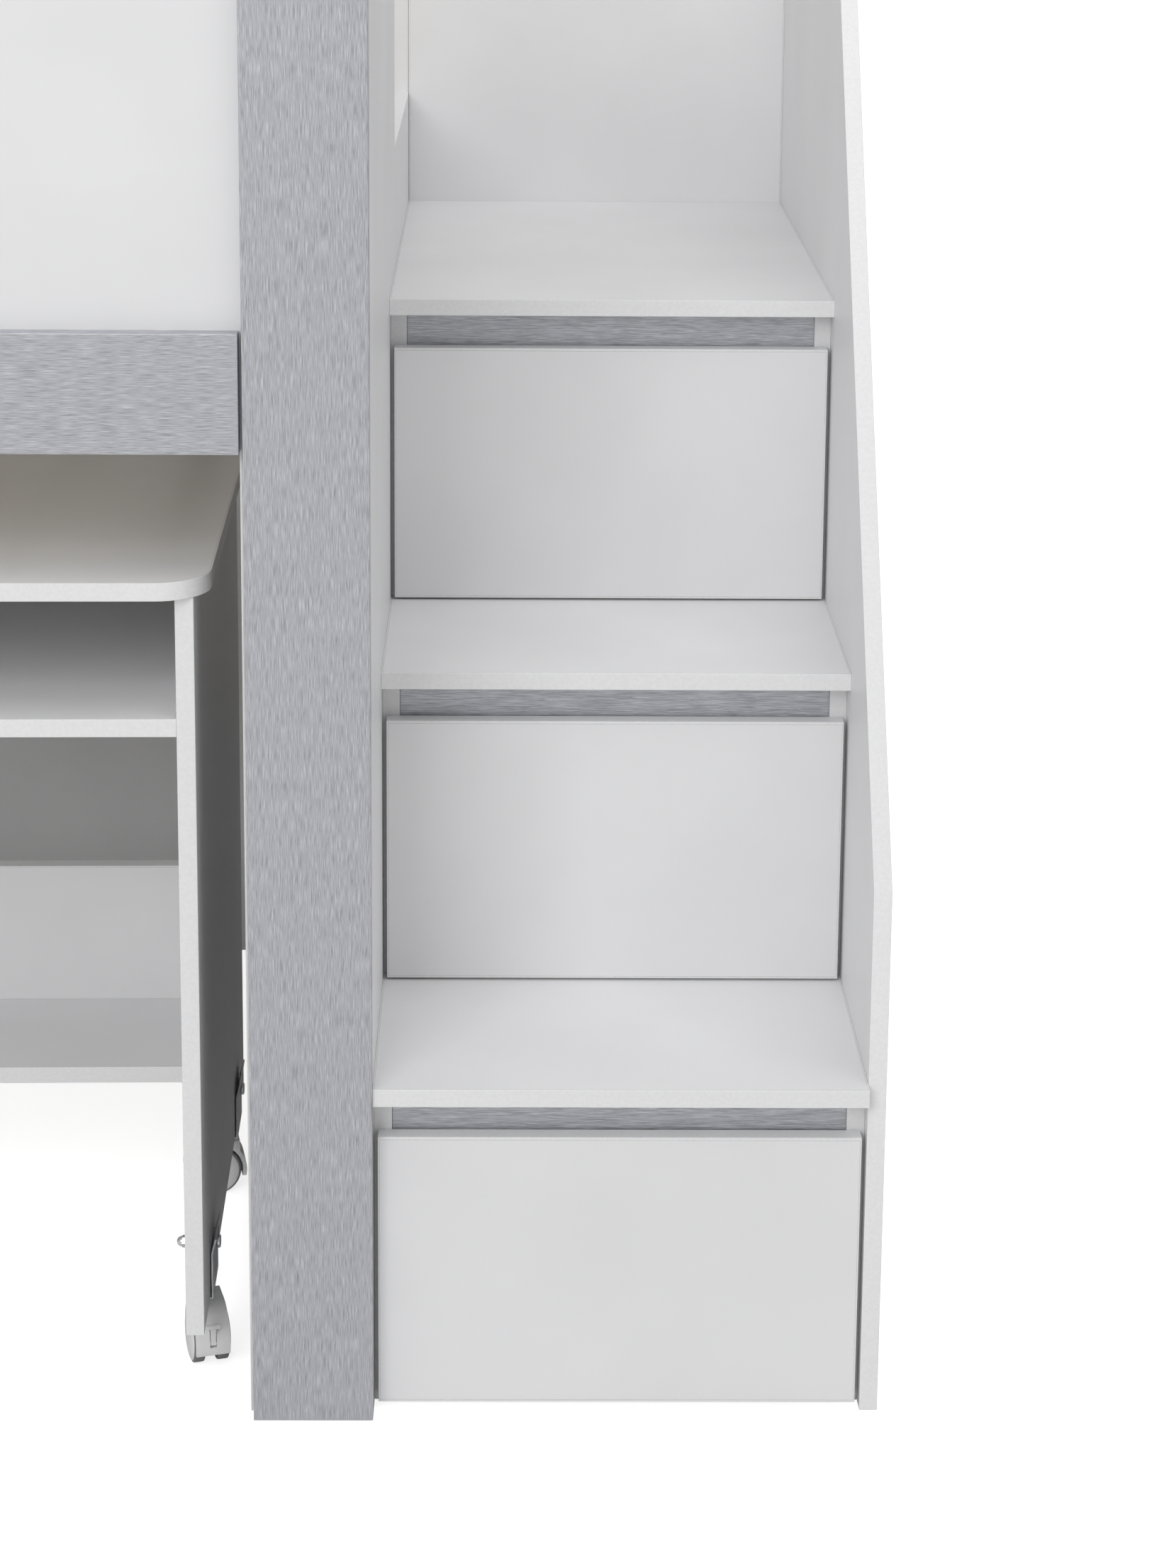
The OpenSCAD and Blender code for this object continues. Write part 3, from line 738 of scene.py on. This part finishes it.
@dataclass
class Castor:
    """One twin-wheel castor: its hood, axle, wheels and, at the front, its brake lever."""

    where: str
    braked: bool
    wheel_mm: float = 25.0
    inner_mm: float = 5.9
    width_mm: float = 11.5
    cap_mm: float = 1.8

    def place(self) -> Matrix:
        """The castor's frame: x towards its wheels, y along its axle, z up, on the floor under its pin."""
        pin = Vector(joint(f"castor_{self.where}_swivel")["pos_m"])
        hub = Vector(joint(f"wheels_{self.where}_spin")["pos_m"])
        way = hub - pin
        pin.z = 0.0
        return Matrix.Translation(pin) @ Matrix.Rotation(math.atan2(way.y, way.x), 4, "Z")

    def build(self, maker: Maker) -> None:
        """Makes the castor's pieces."""
        place = self.place()
        body = "castor_" + self.where
        Plain("hood_" + self.where, NYLON, body, 0.8, 3, place).build(maker)
        Plain("axle_" + self.where, STEEL, body, 0.4, place=place).build(maker)
        self.wheels(maker, place)
        if self.braked:
            self.lever(maker, place)

    def wheel_profile(self) -> list[tuple[float, float]]:
        """One wheel's section, from its inner face out over the tread to the middle of its domed cap."""
        r, w, cap = self.wheel_mm, self.width_mm, self.cap_mm
        shoulder = [(r - 1.4 + 1.4 * math.sin(a), 1.4 - 1.4 * math.cos(a))
                    for a in (math.pi / 2 * i / 5 for i in range(6))]
        outer = [(r - 1.2 + 1.2 * math.cos(a), w - 2.6 + 1.2 * math.sin(a))
                 for a in (math.pi / 2 * i / 5 for i in range(6))]
        rim = r - 2.0
        dome = [(rim * math.cos(a), w - 1.2 + (cap + 1.2) * math.sin(a))
                for a in (math.pi / 2 * i / 14 for i in range(14))]
        return [(2.7, 0.5), (8, 0.5), (9, 0), (r - 5, 0), (r - 4.4, 0.4), *shoulder, *outer,
                (rim + 0.2, w - 1.5), *dome, (0, w + cap)]

    def wheels(self, maker: Maker, place: Matrix) -> None:
        """Makes the pair of wheels, with their treads and caps.

        Args:
            maker: What makes the pieces.
            place: The castor's frame.
        """
        pin = Vector(joint(f"castor_{self.where}_swivel")["pos_m"])
        hub = Vector(joint(f"wheels_{self.where}_spin")["pos_m"])
        trail = (hub.xy - pin.xy).length
        whole = bmesh.new()
        for side in (1, -1):
            one = lathe(self.wheel_profile(), 72)
            for face in one.faces:
                reach = max(v.co.xy.length for v in face.verts)
                on_tread = reach > (self.wheel_mm - 1.9) * MM
                below_cap = face.calc_center_median().z < (self.width_mm - 1.35) * MM
                face.material_index = 1 if on_tread and below_cap else 0
            one.transform(Matrix.Translation((trail, side * self.inner_mm * MM, hub.z))
                          @ Matrix.Rotation(-side * math.pi / 2, 4, "X"))
            merge(whole, one)
        maker.piece("wheel_pair_" + self.where, whole, "wheels_pair_" + self.where, [WHEEL_CAP, TREAD], place,
                    ["wheels_" + self.where], 40.0)

    def lever(self, maker: Maker, place: Matrix) -> None:
        """Makes the brake lever, with its moulded edges rounded.

        Args:
            maker: What makes the pieces.
            place: The castor's frame.
        """
        node, body = "brake_" + self.where, "brake_lever_" + self.where
        mesh = copy_node(node, place)
        soften(mesh, 0.45, 3)
        maker.piece(node + "_piece", mesh, body, [NYLON], place, [node])


@dataclass
class Studio:
    """A pale floor, soft light and the camera."""

    floor_m: float = 60.0
    floor_lift: float = 0.75
    surround: float = 0.5
    focal_px: float = 4368.8
    frame_px: tuple[float, float] = (1659.0, 2212.0)
    centre_x_px: float = 752.5
    shift_y: float = -0.40
    turn: tuple[float, float, float] = (0.1935, -0.0097, 0.0048)
    eye_m: tuple[float, float, float] = (0.9095, -3.01682, 1.481)

    def build(self) -> None:
        """Makes the floor, the light and the camera."""
        self.floor()
        self.light()
        self.camera()
        bpy.context.scene.view_settings.view_transform = "Standard"

    def floor(self) -> None:
        """Lays the floor, just under what stands on it."""
        mesh = bmesh.new()
        bmesh.ops.create_grid(mesh, x_segments=1, y_segments=1, size=self.floor_m / 2)
        data = bpy.data.meshes.new("studio_floor")
        mesh.to_mesh(data)
        mesh.free()
        floor = bpy.data.objects.new("studio_floor", data)
        floor.location.z = -0.2 * MM
        bpy.context.scene.collection.objects.link(floor)
        paper = bpy.data.materials.new("studio_paper")
        paper.use_nodes = True
        tree = paper.node_tree
        shader = tree.nodes["Principled BSDF"]
        shader.inputs["Base Color"].default_value = linear("#EBEBEB")
        shader.inputs["Roughness"].default_value = 0.9
        shader.inputs["Specular IOR Level"].default_value = 0.1
        shader.inputs["Emission Color"].default_value = linear("#FFFFFF")
        seen = add(tree, "ShaderNodeLightPath").outputs["Is Camera Ray"]
        lift = add(tree, "ShaderNodeMath", {"operation": "MULTIPLY", 1: self.floor_lift}, {0: seen})
        tree.links.new(lift.outputs[0], shader.inputs["Emission Strength"])
        data.materials.append(paper)

    def light(self) -> None:
        """Sets the even surround and two large soft lamps."""
        world = bpy.data.worlds.new("studio")
        world.use_nodes = True
        tree = world.node_tree
        back = tree.nodes["Background"]
        back.inputs[0].default_value = linear("#FFFFFF")
        seen = add(tree, "ShaderNodeLightPath").outputs["Is Camera Ray"]
        level = add(tree, "ShaderNodeMapRange", {"To Min": self.surround, "To Max": 1.0}, {"Value": seen})
        tree.links.new(level.outputs[0], back.inputs[1])
        bpy.context.scene.world = world
        for name, place, aim, size, power in (
            ("key_lamp", (-1.2, -5.2, 3.4), (0.2, 0.0, 0.7), 3.0, 115.0),
            ("top_lamp", (1.6, -1.4, 4.4), (0.95, 0.1, 0.6), 3.2, 50.0),
        ):
            data = bpy.data.lights.new(name, "AREA")
            data.size = size
            data.energy = power
            lamp = bpy.data.objects.new(name, data)
            lamp.location = place
            lamp.rotation_mode = "QUATERNION"
            lamp.rotation_quaternion = (Vector(aim) - Vector(place)).to_track_quat("-Z", "Y")
            bpy.context.scene.collection.objects.link(lamp)

    def camera(self) -> None:
        """Sets the camera, a long lens with a shift that keeps the uprights nearly upright."""
        tilt, pan, roll = self.turn
        level = Matrix(((1, 0, 0), (0, 0, -1), (0, 1, 0)))
        rolled_and_panned = Matrix.Rotation(roll, 3, "Z") @ Matrix.Rotation(pan, 3, "Y")
        turned = rolled_and_panned @ Matrix.Rotation(tilt, 3, "X") @ level
        axes = Matrix((turned[0], -turned[1], -turned[2])).transposed()
        data = bpy.data.cameras.new("view")
        data.sensor_fit = "HORIZONTAL"
        data.sensor_width = 36.0
        width, height = self.frame_px
        data.lens = self.focal_px * data.sensor_width / width
        data.shift_x = (width / 2 - self.centre_x_px) / width
        data.shift_y = self.shift_y
        data.clip_start, data.clip_end = 0.05, 200.0
        camera = bpy.data.objects.new("view", data)
        camera.matrix_world = Matrix.Translation(self.eye_m) @ axes.to_4x4()
        bpy.context.scene.collection.objects.link(camera)
        bpy.context.scene.camera = camera


def write_sizes() -> None:
    """Updates the view layer."""
    bpy.context.view_layer.update()


def main() -> None:
    """Builds the bed, the staircase, the drawers, the desk and its castors, then the studio."""
    logging.basicConfig(level=logging.INFO, format="%(name)s: %(message)s")
    maker = Maker()
    parts = [Bed(), Staircase(), *(Drawer(level) for level in (1, 2, 3)), Desk()]
    parts += [Castor(where, where.startswith("front"))
              for where in ("front_right", "front_left", "rear_right", "rear_left")]
    for part in parts:
        before = len(maker.made)
        part.build(maker)
        LOG.info("%s: %s", type(part).__name__, ", ".join(maker.made[before:]))
    Studio().build()
    write_sizes()


if __name__ == "__main__":
    main()
